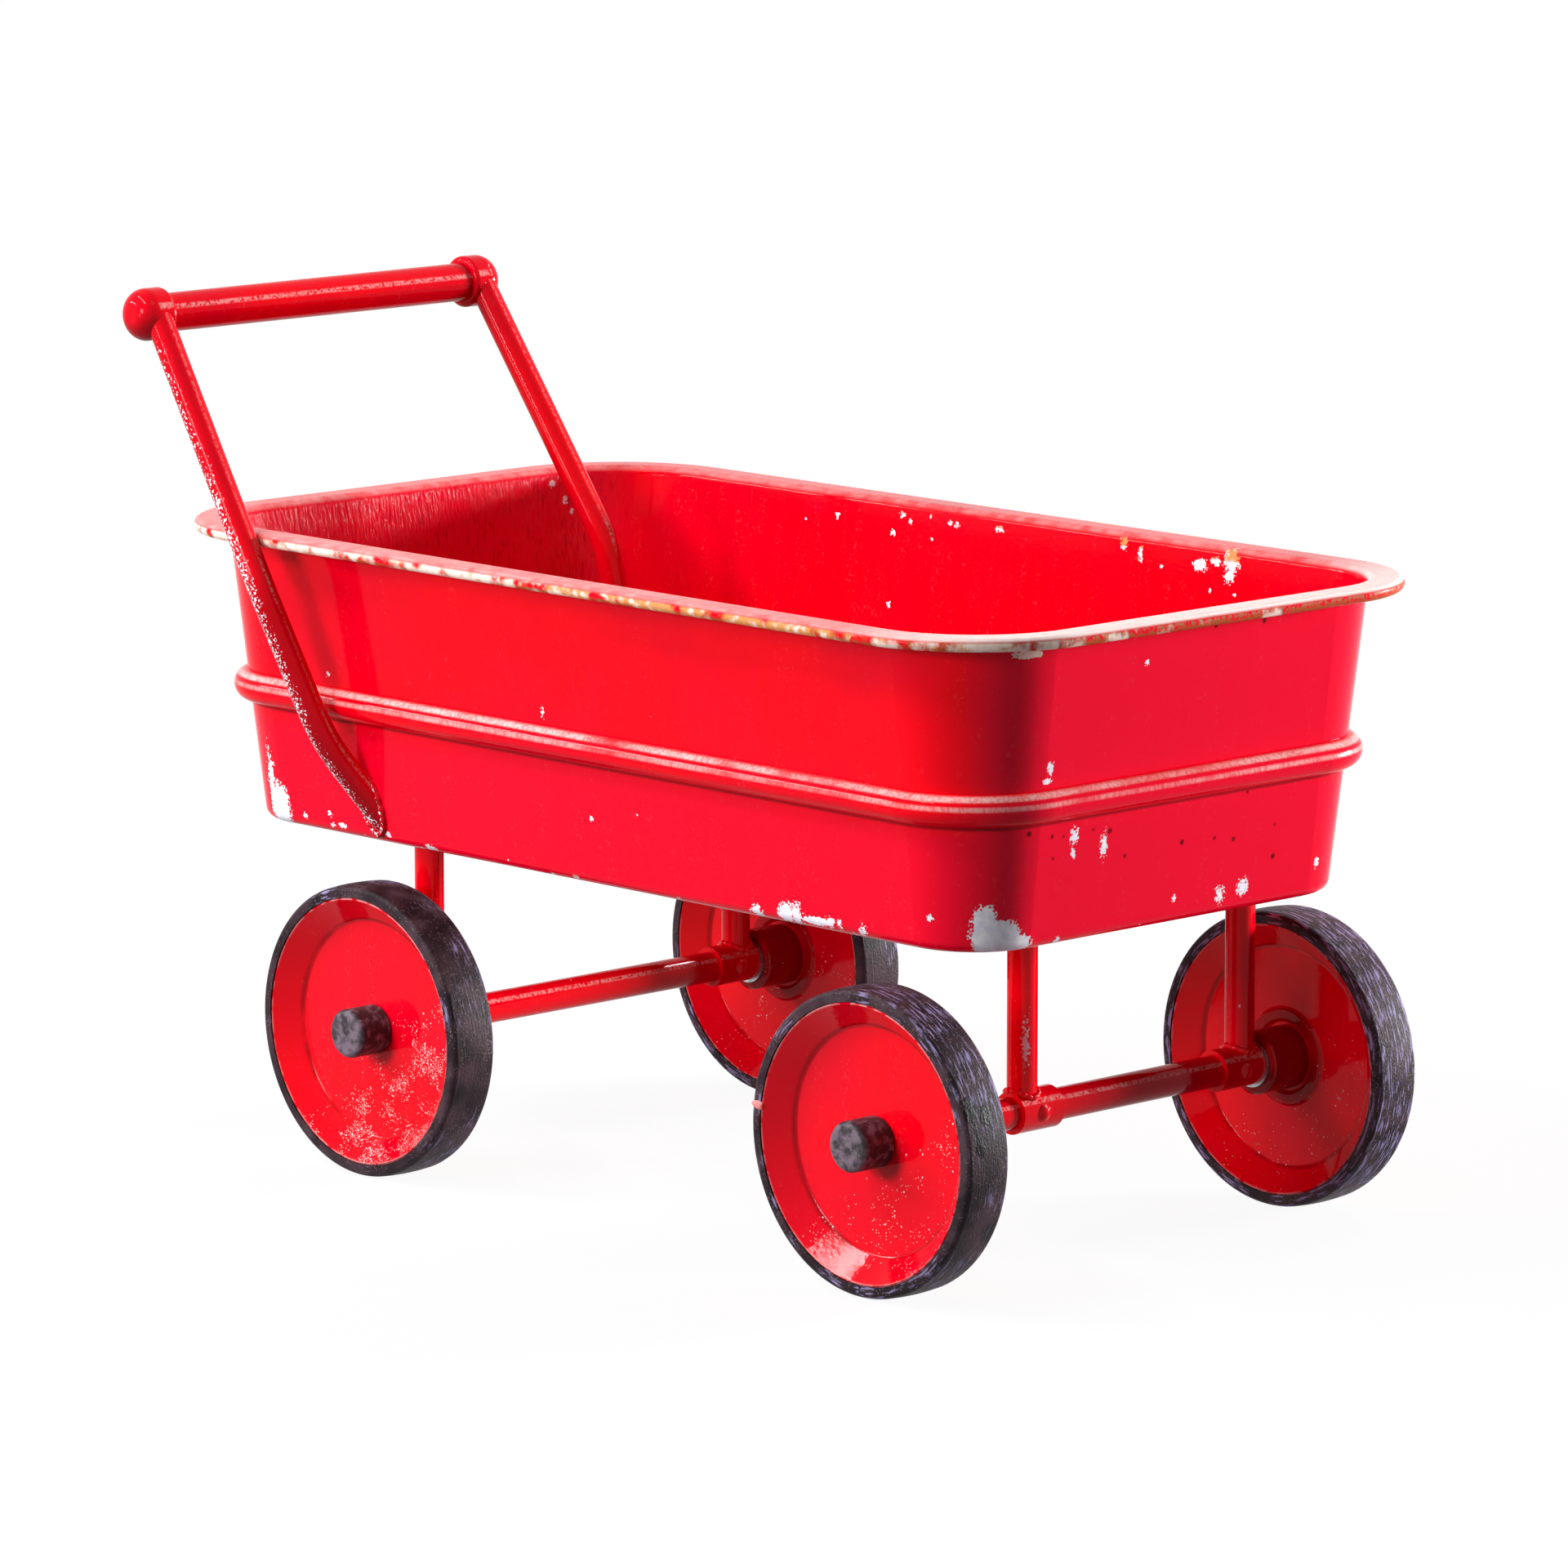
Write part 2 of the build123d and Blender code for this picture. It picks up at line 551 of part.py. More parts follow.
# Right arm: outside the tub, drawn in past the bead and cut flat where it is welded to the wall
shin_y = -(TUB_HALF_WIDTH + wall_offset(BEAD_HEIGHT) + BEAD_RADIUS + BEAD_STAND_OFF)
shin = Vector(knee_x + SHIN_STEP_X, shin_y, SHIN_Z)
right_foot_y = -(TUB_HALF_WIDTH + wall_offset(RIGHT_FOOT_Z - TUB_BASE_Z))
right_foot = Vector(shin.X + RIGHT_FOOT_STEP_X, right_foot_y, RIGHT_FOOT_Z)
past_wall = right_foot + (right_foot - shin)
wall_plane = Plane((0, -TUB_HALF_WIDTH, TUB_BASE_Z), x_dir=(1, 0, 0), z_dir=(0, -1, -DRAFT_SLOPE))
with BuildPart() as right_arm:
    with BuildLine() as right_route:
        FilletPolyline(
            (arm_top.X, RIGHT_ARM_Y, arm_top.Z),
            (knee_x, RIGHT_ARM_Y, KNEE_Z),
            shin,
            past_wall,
            radius=(KNEE_RADIUS, SHIN_RADIUS),
        )
    with BuildSketch(Plane(right_route.line @ 0, z_dir=right_route.line % 0)):
        Circle(ARM_RADIUS)
        Circle(ARM_RADIUS - ARM_WALL, mode=Mode.SUBTRACT)
    sweep()
    split(bisect_by=wall_plane, keep=Keep.TOP)
    add(cap_blanks["right"], mode=Mode.SUBTRACT)
save(right_arm.part, "handle_arm_right")

# Left arm: inside the tub, down to its foot plate on the floor
foot_top_z = FLOOR_TOP_Z + PLATE_THICKNESS
left_foot_point = Vector(*left_foot, foot_top_z)
left_knee = Vector(knee_x, LEFT_ARM_KNEE_Y, KNEE_Z)
past_floor = left_foot_point + (left_foot_point - left_knee).normalized() * 2 * ARM_RADIUS
with BuildPart() as left_arm:
    with BuildLine() as left_route:
        FilletPolyline((arm_top.X, LEFT_ARM_TOP_Y, arm_top.Z), left_knee, past_floor, radius=KNEE_RADIUS)
    with BuildSketch(Plane(left_route.line @ 0, z_dir=left_route.line % 0)):
        Circle(ARM_RADIUS)
        Circle(ARM_RADIUS - ARM_WALL, mode=Mode.SUBTRACT)
    sweep()
    split(bisect_by=Plane.XY.offset(foot_top_z), keep=Keep.TOP)
    add(cap_blanks["left"], mode=Mode.SUBTRACT)
save(left_arm.part, "handle_arm_left")

with BuildPart() as foot_plate:
    with BuildSketch(Plane.XY.offset(FLOOR_TOP_Z)):
        with Locations(left_foot):
            Circle(FOOT_PLATE_RADIUS)
        add(foot_rivet_marks.sketch, mode=Mode.SUBTRACT)
    extrude(amount=PLATE_THICKNESS)
save(foot_plate.part, "handle_foot_plate")

with BuildPart() as foot_rivets:
    for mark in foot_rivet_marks.sketch.faces():
        spot = mark.center()
        add(rivet(Plane((spot.X, spot.Y, TUB_BASE_Z)), PLATE_THICKNESS + SHEET))
save(foot_rivets.part, "handle_foot_rivets")
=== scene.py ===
"""Looks of a child's worn red pressed-steel wagon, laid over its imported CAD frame.

Metres, in the CAD frame: +X to the front, +Y to the left side, +Z up, origin on the ground.
"""
from math import cos, pi, radians, sin

import bpy
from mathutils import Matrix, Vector


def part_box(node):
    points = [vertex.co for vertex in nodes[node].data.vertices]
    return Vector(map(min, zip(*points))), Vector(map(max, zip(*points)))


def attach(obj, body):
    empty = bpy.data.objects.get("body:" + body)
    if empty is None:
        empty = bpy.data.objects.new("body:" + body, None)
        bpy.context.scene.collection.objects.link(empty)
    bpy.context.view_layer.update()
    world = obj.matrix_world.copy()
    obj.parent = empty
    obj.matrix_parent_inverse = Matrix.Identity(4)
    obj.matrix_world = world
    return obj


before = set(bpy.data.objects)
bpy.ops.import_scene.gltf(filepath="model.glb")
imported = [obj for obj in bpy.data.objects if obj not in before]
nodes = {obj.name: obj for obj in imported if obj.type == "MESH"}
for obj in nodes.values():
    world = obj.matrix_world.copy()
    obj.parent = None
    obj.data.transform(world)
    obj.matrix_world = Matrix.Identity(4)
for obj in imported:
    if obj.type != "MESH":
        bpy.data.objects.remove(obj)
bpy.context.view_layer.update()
scene = bpy.context.scene
UP = Vector((0, 0, 1))
ALONG_AXLE = Vector((0, 1, 0))
ACROSS_AXLE = Vector((1, 0, 1))
MILLIMETRES = 1000
CORNERS = ("front_left", "front_right", "rear_left", "rear_right")

# Camera, from the photograph's viewing angle
CAMERA_PLACE = Vector((2.9337, -2.7943, 0.9171))
CAMERA_AZIMUTH = radians(46.4)
CAMERA_ELEVATION = radians(10.0)
PHOTO_SIDE = 1920
FOCAL_PIXELS = 10000
SENSOR_WIDTH = 36.0

# Places on the tub that the wear follows, and where the bead's painted highlight lines and painted shade
# line lie
RIM_CORNER_RADIUS = 0.0738
RIM_LIP_WIDTH = 0.0035
RIM_LIP_HEIGHT = 0.0068
RIM_LIP_BLUR = 0.001
BEAD_RISE = 0.070
BEAD_HIGHLIGHT_HALF = 0.0017
BEAD_HIGHLIGHT_CORE = 0.0004
# Painted shade line in the crease under the bead: its rise, half width and core
BEAD_SHADE_RISE = -0.0088
BEAD_SHADE_HALF = 0.0016
BEAD_SHADE_CORE = 0.0003
LOW_WALL_FADE = 0.02
SCATTER_DEPTH = 0.05
SCATTER_RISE = 0.02

# Painted highlight lines along the bead: rise over its middle, and strength
BEAD_HIGHLIGHT_LINES = ((0.0018, 0.55), (0.0062, 1.0))
BEAD_HIGHLIGHT_PALENESS = 0.35

# Radii of a wheel's disc, and how far in from its edge the rubbed line lies
DISC_EDGE_RADIUS = 0.0685
DISC_EDGE_RUB = (0.0016, 0.0006)
# Radius where the dish meets the web, which a painted shade ring follows
DISC_WEB_RADIUS = 0.0561

# Painted highlight lines along the axle tubes and the grip: the upward part of the skin's normal there
AXLE_HIGHLIGHT_RISE = 0.58
GRIP_HIGHLIGHT_RISE = 0.40

# How scuffed each tyre is, and how dusty each wheel
SCUFFED = {"front_left": 0.34, "front_right": 0.16, "rear_left": 0.16, "rear_right": 0.12}
DUSTING = {"front_left": 0.08, "front_right": 0.16, "rear_left": 0.14, "rear_right": 0.85}
SCUFF_START = 0.92
SCUFF_FULL = 1.08
TREAD_STRETCH = 0.010

# Tubes that are welded on: their radii, the handle arms' feet, and how far up a look along an arm starts
LEG_RADIUS = 0.0075
ARM_RADIUS = 0.0070
RIGHT_FOOT = Vector((-0.1602, -0.1370, 0.1900))
RIGHT_FOOT_WAY = Vector((13.0, 19.8, -32.0))
RIGHT_FOOT_BACK = 0.020
LEFT_FOOT = Vector((-0.1682, 0.0660, 0.1722))
LEFT_FOOT_WAY = Vector((28.0, 9.0, -127.8))
LEFT_FOOT_BACK = 0.03

# Weld beads: size, points round a seam and round the bead, and how the thickness ripples along it
WELD_RADIUS = 0.0017
WELD_PROUD = 0.0008
SEAM_POINTS = 72
WELD_SIDES = 8
WELD_EVEN = 0.86
WELD_RIPPLE = 0.14
WELD_RIPPLE_TURN = pi / 2
WELD_WANDER = 0.06
WELD_WANDER_TURN = 0.9

# Run of red paint over the side of the front right tyre: its place from the wheel's middle, and its size
RUN_PLACE = Vector((-0.0702, 0, 0.0087))
RUN_HALF_LENGTH = 0.0040
RUN_HALF_WIDTH = 0.0022
RUN_HEIGHT = 0.0012
RUN_SUNK = 0.0002
RUN_TAPER = 0.35
RUN_RINGS = 6
RUN_SPOKES = 20

# Colours of paint, rubber, metal and plastic
ENAMEL = (0.90, 0.0, 0.008)
ENAMEL_DEEP = (0.74, 0.0, 0.014)
ENAMEL_FADED = (0.88, 0.001, 0.026)
PRIMER = (0.82, 0.79, 0.90)
PRIMER_PALE = (0.92, 0.91, 0.95)
CREAM = (0.92, 0.74, 0.64)
GILT = (0.70, 0.30, 0.10)
RUST = (0.34, 0.12, 0.02)
# Pale pink of dust, also used for painted highlights
DUST_AND_SHEEN = (0.92, 0.62, 0.60)
# Painted pale sheen of the rim's flat top at the front
FLANGE_SHEEN = (0.98, 0.84, 0.80)
# Dark red of grime, also used for painted shade
GRIME_AND_SHADE = (0.07, 0.0, 0.0)
RUBBER = (0.012, 0.006, 0.009)
RUBBER_WORN = (0.060, 0.033, 0.043)
RUBBER_SCUFF = (0.27, 0.22, 0.42)
RUBBER_DUST = (0.24, 0.17, 0.16)
TAR = (0.003, 0.002, 0.003)
CAP_BLACK = (0.026, 0.019, 0.024)
CAP_WORN = (0.16, 0.115, 0.15)
STEEL = (0.52, 0.52, 0.53)
NYLON = (0.80, 0.78, 0.70)

# Specular levels
PAINT_SPECULAR = 0.09
TUB_SPECULAR = 0.05
HANDLE_SPECULAR = 0.065

# Streak on the front right leg: its pixel, and how it narrows distances in metres to a round spot of 1
LEG_STREAK_PIXEL = (1256, 1278)
LEG_STREAK_STRETCH = Vector((560.0, 560.0, 100.0))

# Spots: the size in millimetres of the fragments that edge one, and a distance past any, in spot sizes
FRAGMENT = 3.0
PAST_ANY_SPOT = 9.0

# Bare spots of the tub's outside and inside in the photograph: pixel, then half width and half height
# in millimetres
BARE_SPOTS = (
    (1221, 1150, 13.0, 9.0),
    (1206, 1128, 6.0, 7.0),
    (1243, 1158, 9.0, 6.0),
    (1139, 1124, 1.6, 1.6),
    (1293, 1152, 2.0, 4.5),
    (1493, 1096, 3.0, 4.0),
    (1522, 1086, 3.6, 4.0),
    (1316, 1024, 2.6, 3.4),
    (1314, 1045, 1.2, 2.6),
    (1352, 1034, 2.2, 5.5),
    (1286, 941, 1.6, 3.6),
    (1282, 957, 2.4, 1.4),
    (1405, 811, 1.3, 1.3),
    (1437, 1100, 1.2, 1.8),
    (1612, 1056, 1.4, 2.6),
    (344, 988, 8.0, 13.0),
    (333, 955, 3.0, 16.0),
    (374, 999, 1.6, 1.6),
    (404, 996, 1.5, 1.5),
    (408, 1010, 1.6, 1.2),
    (420, 1011, 2.6, 1.2),
    (475, 1022, 2.6, 1.2),
    (528, 1038, 3.4, 1.6),
    (402, 826, 1.3, 1.3),
    (664, 872, 1.2, 2.8),
    (724, 1003, 1.3, 1.3),
    (962, 1118, 6.0, 5.0),
    (975, 1121, 4.0, 6.0),
    (1000, 1128, 9.0, 2.2),
    (1016, 1130, 3.0, 2.4),
    (1028, 1132, 2.0, 2.6),
    (1057, 1140, 2.4, 3.0),
    (927, 1116, 3.5, 3.5),
    (1260, 801, 7.5, 2.4),
)
INSIDE_SPOTS = (
    (1470, 692, 5.0, 3.0),
    (1488, 688, 3.0, 2.0),
    (1509, 686, 5.0, 6.5),
    (1505, 706, 3.0, 3.2),
    (1511, 728, 1.2, 1.2),
    (676, 592, 1.8, 1.8),
    (692, 611, 1.6, 2.4),
    (700, 626, 1.2, 1.4),
    (1026, 631, 1.3, 1.6),
    (1105, 631, 1.7, 1.6),
    (1115, 639, 1.5, 1.4),
    (1093, 652, 1.8, 1.6),
    (1140, 632, 0.9, 0.9),
    (1141, 660, 0.9, 0.9),
    (1164, 640, 1.8, 1.2),
    (1172, 643, 1.8, 1.6),
    (1225, 648, 3.0, 1.4),
    (987, 635, 0.9, 0.9),
    (1088, 740, 1.3, 1.4),
    (1377, 664, 2.4, 3.0),
    (1397, 677, 1.3, 4.6),
    (1422, 693, 1.4, 0.9),
    (1481, 722, 0.9, 1.6),
)

# Black drips on the front right tyre's tread, in the same form
DRIP_SPOTS = (
    (1184, 1352, 2.6, 3.8),
    (1187, 1364, 3.6, 4.4),
    (1207, 1366, 3.6, 4.8),
    (1195, 1384, 1.1, 4.6),
    (1198, 1397, 1.1, 4.6),
    (1201, 1409, 2.9, 3.4),
)
DRIPS = {"front_right": DRIP_SPOTS}

# Studio: where the lamps point, the dim surroundings and the paper floor
LAMP_AIM = Vector((0, 0, 0.22))
SURROUNDINGS = (0.93, 0.95, 1.0, 1)
SURROUNDINGS_STRENGTH = 0.06
WHITE = (1, 1, 1, 1)
FLOOR_HALF = 6.0
PAPER = (0.85, 0.85, 0.86)
PAPER_GIVES_BACK = (0.14, 0.14, 0.15)
PAPER_ROUGHNESS = 0.9


class Graph:
    """One material's nodes. Values may be numbers, colours or the sockets of nodes made before."""

    def __init__(self, name):
        self.material = bpy.data.materials.new(name)
        self.material.use_nodes = True
        self.tree = self.material.node_tree
        self.shader = self.tree.nodes["Principled BSDF"]
        coordinates = self.add("ShaderNodeTexCoord")
        self.place = coordinates.outputs["Object"]
        self.normal = coordinates.outputs["Normal"]

    def add(self, kind, **settings):
        """A new node with its settings."""
        node = self.tree.nodes.new(kind)
        for key, value in settings.items():
            setattr(node, key, value)
        return node

    def feed(self, socket, value):
        """Link a socket, or set its own value."""
        if isinstance(value, bpy.types.NodeSocket):
            self.tree.links.new(value, socket)
        elif socket.type == "RGBA":
            socket.default_value = (*value, 1.0)
        else:
            socket.default_value = value

    def math(self, operation, *values):
        """A number worked out from one to three others."""
        node = self.add("ShaderNodeMath", operation=operation)
        for socket, value in zip(node.inputs, values):
            self.feed(socket, value)
        return node.outputs[0]

    def scaled(self, value, gain, base=None):
        """A value times a gain, and a base added where there is one."""
        if base is None:
            return self.math("MULTIPLY", value, gain)
        return self.math("MULTIPLY_ADD", value, gain, base)

    def away(self, value, line):
        """How far a value is from a line, on either side of it."""
        return self.math("ABSOLUTE", self.math("SUBTRACT", value, line))

    def vector(self, operation, *values):
        """A vector worked out from one to three others."""
        node = self.add("ShaderNodeVectorMath", operation=operation)
        for socket, value in zip(node.inputs, values):
            self.feed(socket, value)
        return node.outputs["Value" if operation == "LENGTH" else "Vector"]

    def axes(self, vector):
        """The X, Y and Z of a vector."""
        node = self.add("ShaderNodeSeparateXYZ")
        self.feed(node.inputs[0], vector)
        return node.outputs

    def joined(self, **parts):
        """A vector from its X, Y and Z."""
        node = self.add("ShaderNodeCombineXYZ")
        for axis, value in parts.items():
            self.feed(node.inputs[axis], value)
        return node.outputs["Vector"]

    def noise(self, scale, stretch=(1, 1, 1), detail=4.0, place=None):
        """Cloudy noise from 0 to 1, with a scale in features per metre."""
        node = self.add("ShaderNodeTexNoise")
        stretched = self.vector("MULTIPLY", place or self.place, stretch)
        self.feed(node.inputs["Vector"], stretched)
        node.inputs["Scale"].default_value = scale
        node.inputs["Detail"].default_value = detail
        return node.outputs["Fac"]

    def step(self, value, none, full):
        """A smooth step: 0 where the value is at none, 1 where it is at full, which may be the smaller."""
        node = self.add("ShaderNodeMapRange", interpolation_type="SMOOTHSTEP")
        self.feed(node.inputs["Value"], value)
        node.inputs["From Min"].default_value = none
        node.inputs["From Max"].default_value = full
        return node.outputs["Result"]

    def patches(self, none, full, **noise):
        """A mask of noise, by a smooth step."""
        return self.step(self.noise(**noise), none, full)

    def specks(self, scale, size, share):
        """Scattered round specks: cells per metre, size in cells, and the share of cells that have one."""
        node = self.add("ShaderNodeTexVoronoi")
        self.feed(node.inputs["Vector"], self.place)
        node.inputs["Scale"].default_value = scale
        chosen = self.math("LESS_THAN", self.axes(node.outputs["Color"])[0], share)
        return self.both(chosen, self.step(node.outputs["Distance"], none=size, full=size / 2))

    def both(self, first, *others):
        """Where every mask holds."""
        for other in others:
            first = self.math("MULTIPLY", first, other)
        return first

    def either(self, first, *others):
        """Where any mask holds."""
        for other in others:
            first = self.math("MAXIMUM", first, other)
        return first

    def mix(self, mask, first, second):
        """The second colour over the first, by a mask."""
        node = self.add("ShaderNodeMix", data_type="RGBA")
        self.feed(node.inputs["Factor"], mask)
        self.feed(node.inputs["A"], first)
        self.feed(node.inputs["B"], second)
        return node.outputs["Result"]

    def bump(self, height, depth):
        """Relief on the shader's normal: a height from 0 to 1 over a depth in metres."""
        node = self.add("ShaderNodeBump")
        self.feed(node.inputs["Height"], height)
        node.inputs["Distance"].default_value = depth
        self.tree.links.new(node.outputs["Normal"], self.shader.inputs["Normal"])

    def finish(self, colour, roughness, specular=0.5):
        """Join colour and roughness to the shader and give back the material."""
        self.feed(self.shader.inputs["Base Color"], colour)
        self.feed(self.shader.inputs["Roughness"], roughness)
        self.shader.inputs["Specular IOR Level"].default_value = specular
        return self.material


def node_middle(name):
    """The middle of a CAD node's box."""
    low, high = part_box(name)
    return (low + high) / 2


def darker(colour, share):
    """A colour at a share of its brightness."""
    return tuple(share * part for part in colour)


def photo_direction(pixel_x, pixel_y):
    """The way the camera looks through a pixel of the photograph."""
    middle = PHOTO_SIDE / 2
    sideways = (pixel_x - middle) / FOCAL_PIXELS
    upwards = (middle - pixel_y) / FOCAL_PIXELS
    return (camera.matrix_world.to_3x3() @ Vector((sideways, upwards, -1))).normalized()


def photo_spot(host, pixel_x, pixel_y):
    """The point of a CAD node that the photograph shows at a pixel."""
    hit, spot, _, _ = nodes[host].ray_cast(CAMERA_PLACE, photo_direction(pixel_x, pixel_y))
    if not hit:
        raise ValueError(f"pixel {pixel_x}, {pixel_y} misses {host}")
    return spot


def photo_spots(graph, host, spots, ragged):
    """Ragged spots round the points of a CAD node at some pixels."""
    nearest = PAST_ANY_SPOT
    for pixel_x, pixel_y, half_width, half_height in spots:
        spot = photo_spot(host, pixel_x, pixel_y)
        along = MILLIMETRES / half_width
        stretch = Vector((along, along, MILLIMETRES / half_height))
        across = graph.vector("MULTIPLY_ADD", graph.place, stretch, -spot * stretch)
        share = min(1.0, FRAGMENT / half_width)
        edge = graph.scaled(ragged, gain=share, base=graph.vector("LENGTH", across))
        nearest = graph.math("MINIMUM", nearest, edge)
    return graph.step(nearest, none=1.04, full=0.94)


def primer(graph):
    """Chipped primer: lilac grey with paler flecks."""
    return graph.mix(graph.patches(scale=260, detail=5, none=0.42, full=0.62), PRIMER, PRIMER_PALE)


def paint(graph, bare, rust=0.0, dust_and_sheen=0.0, grime_and_shade=0.0, relief=0.0, faded=0.0, painted_sheen=0.0, metal=None,
          specular=PAINT_SPECULAR):
    """Gloss enamel, with masks of bare metal, rust, dust with painted highlights, grime with painted shade,
    relief, fading and a painted pale sheen over it.
    """
    deep = graph.patches(scale=9, detail=3, none=0.35, full=0.70)
    bleached = graph.patches(scale=34, detail=6, none=0.58, full=0.80)
    scuffs = graph.patches(scale=150, stretch=(1, 1, 0.15), detail=6, none=0.45, full=0.75)
    marks = graph.patches(scale=520, detail=8, none=0.52, full=0.75)
    scratched = graph.scaled(graph.both(scuffs, marks), gain=0.05)
    colour = graph.mix(deep, ENAMEL, ENAMEL_DEEP)
    colour = graph.mix(graph.either(graph.scaled(bleached, gain=0.35), faded), colour, ENAMEL_FADED)
    colour = graph.mix(graph.either(graph.scaled(dust_and_sheen, gain=0.55), scratched), colour, DUST_AND_SHEEN)
    colour = graph.mix(painted_sheen, colour, FLANGE_SHEEN)
    colour = graph.mix(grime_and_shade, colour, GRIME_AND_SHADE)
    colour = graph.mix(graph.scaled(rust, gain=0.8), colour, RUST)
    colour = graph.mix(bare, colour, metal or primer(graph))
    gloss = graph.scaled(scuffs, gain=0.06, base=0.06)
    roughness = graph.math("ADD", gloss, graph.scaled(graph.either(bare, rust, dust_and_sheen), gain=0.42))
    peel = graph.scaled(graph.noise(scale=420, detail=2), gain=0.06)
    height = graph.math("ADD", peel, graph.scaled(relief, gain=0.3))
    height = graph.math("SUBTRACT", height, graph.scaled(bare, gain=0.35))
    graph.bump(height, depth=0.0006)
    return graph.finish(colour, roughness, specular)


def past_rim(graph, x, y, corner):
    """Distance out from the rim's outline, which is a rounded rectangle round the origin."""
    past_x = graph.math("SUBTRACT", graph.math("ABSOLUTE", x), corner.x - RIM_CORNER_RADIUS)
    past_y = graph.math("SUBTRACT", graph.math("ABSOLUTE", y), corner.y - RIM_CORNER_RADIUS)
    beyond = graph.joined(X=graph.math("MAXIMUM", past_x, 0.0), Y=graph.math("MAXIMUM", past_y, 0.0))
    straight = graph.math("MINIMUM", graph.math("MAXIMUM", past_x, past_y), 0.0)
    rounded = graph.math("ADD", graph.vector("LENGTH", beyond), straight)
    return graph.math("SUBTRACT", rounded, RIM_CORNER_RADIUS)


def tub_spots(graph, outside):
    """The tub's bare spots with ragged edges, each on its own side of the sheet."""
    coarse = graph.scaled(graph.noise(scale=210, detail=7), gain=1.6, base=-0.8)
    fine = graph.scaled(graph.noise(scale=760, detail=4), gain=3.6, base=-1.8)
    ragged = graph.math("ADD", coarse, fine)
    inside = graph.math("SUBTRACT", 1.0, outside)
    return graph.either(
        graph.both(outside, photo_spots(graph, "tub", BARE_SPOTS, ragged)),
        graph.both(inside, photo_spots(graph, "tub", INSIDE_SPOTS, ragged)),
    )


def tub_enamel():
    """The tub's paint: chips from the photograph, worn rim and bottom edge, grained rear, pits and rust,
    with painted highlight lines on the bead, a painted shade line under it and a painted sheen on the rim's
    top.
    """
    graph = Graph("tub_enamel")
    low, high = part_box("tub")
    x, y, z = graph.axes(graph.place)
    outward_x, outward_y, outward_z = graph.axes(graph.normal)
    outwards = graph.math("MULTIPLY_ADD", x, outward_x, graph.math("MULTIPLY", y, outward_y))
    outside = graph.step(outwards, none=-0.01, full=0.01)
    right_side = graph.step(y, none=0.02, full=-0.12)
    front_end = graph.step(x, none=0.20, full=0.29)

    def under_rim(none, full):
        """A step between two depths under the rim's top."""
        return graph.step(z, none=high.z - none, full=high.z - full)

    def over_floor(none, full):
        """A step between two heights over the tub's underside."""
        return graph.step(z, none=low.z + none, full=low.z + full)

    # Wear of the rim's lip, heaviest on the right side, and of the bottom edge
    lip = graph.both(
        graph.step(past_rim(graph, x, y, high), none=-2 * RIM_LIP_WIDTH, full=-RIM_LIP_WIDTH),
        under_rim(none=RIM_LIP_HEIGHT + RIM_LIP_BLUR, full=RIM_LIP_HEIGHT - RIM_LIP_BLUR),
        under_rim(none=0.0012, full=0.0026),
    )
    stretches = graph.math("ADD", graph.noise(scale=64, detail=8), graph.scaled(right_side, gain=0.07))
    stretches = graph.scaled(front_end, gain=-0.10, base=stretches)
    lip_worn = graph.both(lip, graph.step(stretches, none=0.46, full=0.58))
    bottom = graph.both(
        graph.step(outwards, none=0.005, full=0.02),
        over_floor(none=0.004, full=0.001),
        graph.patches(scale=130, detail=7, none=0.65, full=0.69),
    )
    scatter = graph.both(
        graph.specks(scale=120, size=0.09, share=0.03),
        graph.step(z, none=high.z - SCATTER_DEPTH, full=low.z + SCATTER_RISE),
    )
    bare = graph.either(tub_spots(graph, outside), lip_worn, bottom, scatter)

    # What shows where it is bare: cream and gilt by the rim, primer elsewhere
    gold_stretch = graph.both(graph.step(x, none=-0.06, full=0.08), graph.step(x, none=0.25, full=0.21))
    golden = graph.scaled(gold_stretch, gain=0.22, base=graph.noise(scale=210, detail=6))
    gilding = graph.mix(graph.step(golden, none=0.52, full=0.76), CREAM, GILT)
    near_rim = graph.both(under_rim(none=0.021, full=0.017), graph.step(y, none=0.06, full=0.0))
    near_rim = graph.either(near_rim, under_rim(none=0.008, full=0.006))
    metal = graph.mix(near_rim, primer(graph), gilding)

    # Rust on the worn rim; on its flat top, dust mixed with painted reflection, and a painted pale sheen at
    # the front
    rust_under = graph.patches(scale=70, detail=6, none=0.40, full=0.55)
    rust_patches = graph.patches(scale=60, detail=6, none=0.50, full=0.60)
    rust_speckle = graph.patches(scale=460, detail=5, none=0.40, full=0.55)
    rust = graph.either(
        graph.both(lip, under_rim(none=0.0042, full=0.0052), rust_under),
        graph.both(lip, rust_patches, graph.step(stretches, none=0.44, full=0.52)),
        graph.both(lip, front_end, rust_speckle),
    )
    rim_top = graph.both(graph.step(outward_z, none=0.35, full=0.80), under_rim(none=0.0040, full=0.0025))
    streaks = graph.patches(scale=120, detail=7, none=0.25, full=0.75)
    paleness = graph.scaled(right_side, gain=0.25, base=0.20)
    dust_and_sheen = graph.both(rim_top, graph.scaled(streaks, gain=0.6, base=paleness))
    painted_sheen = graph.both(rim_top, front_end, graph.scaled(streaks, gain=0.15, base=0.80))

    # Painted highlight lines along the bead, laid into the dust and pale sheen masks
    highlight_ticks = graph.patches(scale=700, stretch=(1, 1, 0.3), detail=4, none=0.40, full=0.58)
    for rise, strength in BEAD_HIGHLIGHT_LINES:
        off_highlight = graph.away(z, low.z + BEAD_RISE + rise)
        line = graph.both(
            graph.step(off_highlight, none=BEAD_HIGHLIGHT_HALF, full=BEAD_HIGHLIGHT_CORE),
            graph.patches(scale=24, detail=6, none=0.20, full=0.60),
            graph.scaled(highlight_ticks, gain=0.5, base=0.5),
        )
        dust_and_sheen = graph.either(dust_and_sheen, graph.scaled(line, gain=strength))
        painted_sheen = graph.either(painted_sheen, graph.scaled(line, gain=BEAD_HIGHLIGHT_PALENESS * strength))

